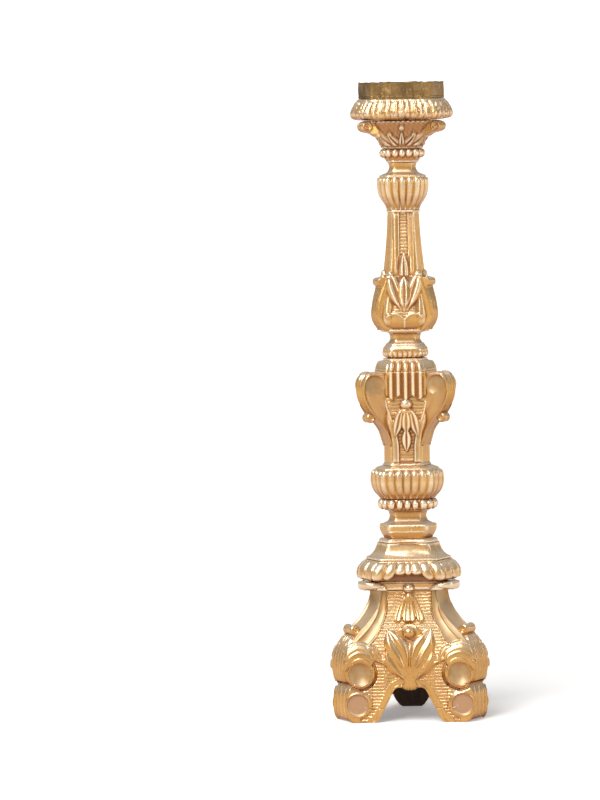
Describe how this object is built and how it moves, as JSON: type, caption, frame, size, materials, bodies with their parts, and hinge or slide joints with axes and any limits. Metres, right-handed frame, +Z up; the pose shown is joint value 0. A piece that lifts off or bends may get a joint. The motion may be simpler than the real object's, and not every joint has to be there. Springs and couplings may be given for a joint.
{
  "type": "torchere candle stand",
  "caption": "Triangular carved giltwood candle stand on scrolled feet, with a baluster stem and a fringed drip pan whose brass-banded tray carries a candle.",
  "frame": {"origin": "on the floor, below the middle of the bounding box; the stem's axis stands 21.6 mm in front of it, towards -Y, because two of the three legs are at the front", "axes": "+Z up along the stem; the front board faces -Y, and the legs point to -30, 90 and 210 degrees from +X"},
  "size_m": [0.2186, 0.19, 0.9145],
  "materials": {
    "gilt_wood": "water gilding over orange bole, rubbed on the edges",
    "burnished_gilt": "burnished water gilding",
    "brass": "tarnished sheet brass",
    "bare_wood": "bare poplar"
  },
  "bodies": {
    "root": {"band_nail_1_front": "brass", "band_nail_1_left": "brass", "band_nail_1_right": "brass", "band_nail_2_front": "brass", "band_nail_2_left": "brass", "band_nail_2_right": "brass", "base_core": "bare_wood", "bead_ring": "gilt_wood", "berry_front": "burnished_gilt", "berry_left": "burnished_gilt", "berry_right": "burnished_gilt", "board_front": "gilt_wood", "board_left": "gilt_wood", "board_right": "gilt_wood", "capital": "gilt_wood", "capital_volute_back": "gilt_wood", "capital_volute_front_left": "gilt_wood", "capital_volute_front_right": "gilt_wood", "cornice": "gilt_wood", "cornice_ledge": "gilt_wood", "dowel_1": "bare_wood", "dowel_2": "bare_wood", "dowel_3": "bare_wood", "dowel_4": "bare_wood", "dowel_5": "bare_wood", "dowel_6": "bare_wood", "drip_pan": "gilt_wood", "ear_back": "gilt_wood", "ear_curl_back": "burnished_gilt", "ear_curl_front_left": "burnished_gilt", "ear_curl_front_right": "burnished_gilt", "ear_front_left": "gilt_wood", "ear_front_right": "gilt_wood", "knop": "gilt_wood", "lappet_collar": "gilt_wood", "leg_back": "gilt_wood", "leg_curl_back": "burnished_gilt", "leg_curl_front_left": "burnished_gilt", "leg_curl_front_right": "burnished_gilt", "leg_front_left": "gilt_wood", "leg_front_right": "gilt_wood", "lower_cup": "gilt_wood", "lower_shaft": "gilt_wood", "ogee_cap": "gilt_wood", "plinth_block": "gilt_wood", "top_collar": "gilt_wood", "tray_band": "brass", "tray_plate": "brass", "upper_cup": "gilt_wood", "upper_shaft": "gilt_wood", "vase": "gilt_wood", "vase_scroll_back": "burnished_gilt", "vase_scroll_front_left": "burnished_gilt", "vase_scroll_front_right": "burnished_gilt"}
  },
  "joints": []
}
